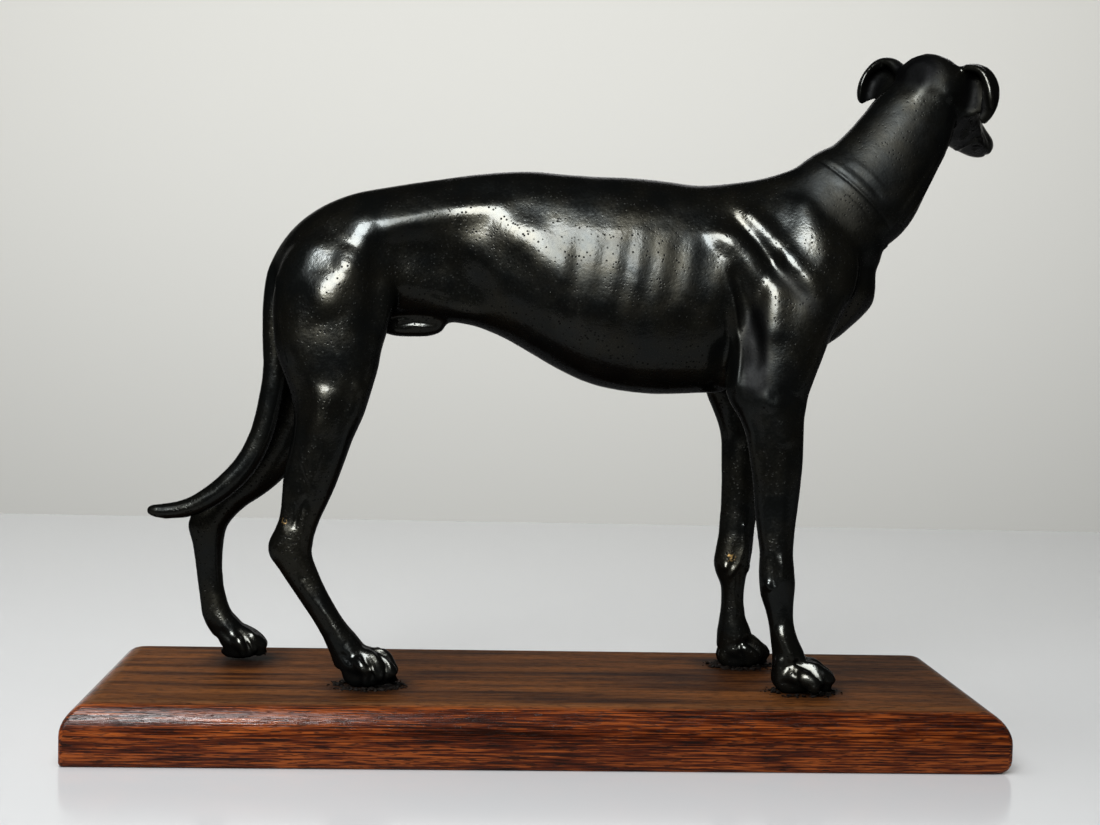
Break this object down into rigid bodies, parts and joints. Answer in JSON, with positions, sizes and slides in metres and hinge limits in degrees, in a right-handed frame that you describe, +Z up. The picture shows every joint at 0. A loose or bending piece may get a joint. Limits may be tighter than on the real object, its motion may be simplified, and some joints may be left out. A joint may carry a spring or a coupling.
{
  "type": "greyhound statue",
  "caption": "Standing greyhound figure in black-patinated bronze, head turned to its left, on a flat wooden plinth with rounded upper edges; a desk or mantel ornament.",
  "frame": {"origin": "middle of the plinth's underside", "axes": "+Z up; +X along the plinth, the way the dog's body faces; +Y towards the dog's left, the side its head turns to"},
  "size_m": [0.3186, 0.1, 0.2387],
  "materials": {
    "black_patina_bronze": "glossy black patina over cast bronze",
    "oiled_hardwood": "worn satin varnish on reddish-brown hardwood"
  },
  "bodies": {
    "root": {"greyhound": "black_patina_bronze", "plinth": "oiled_hardwood"}
  },
  "joints": []
}
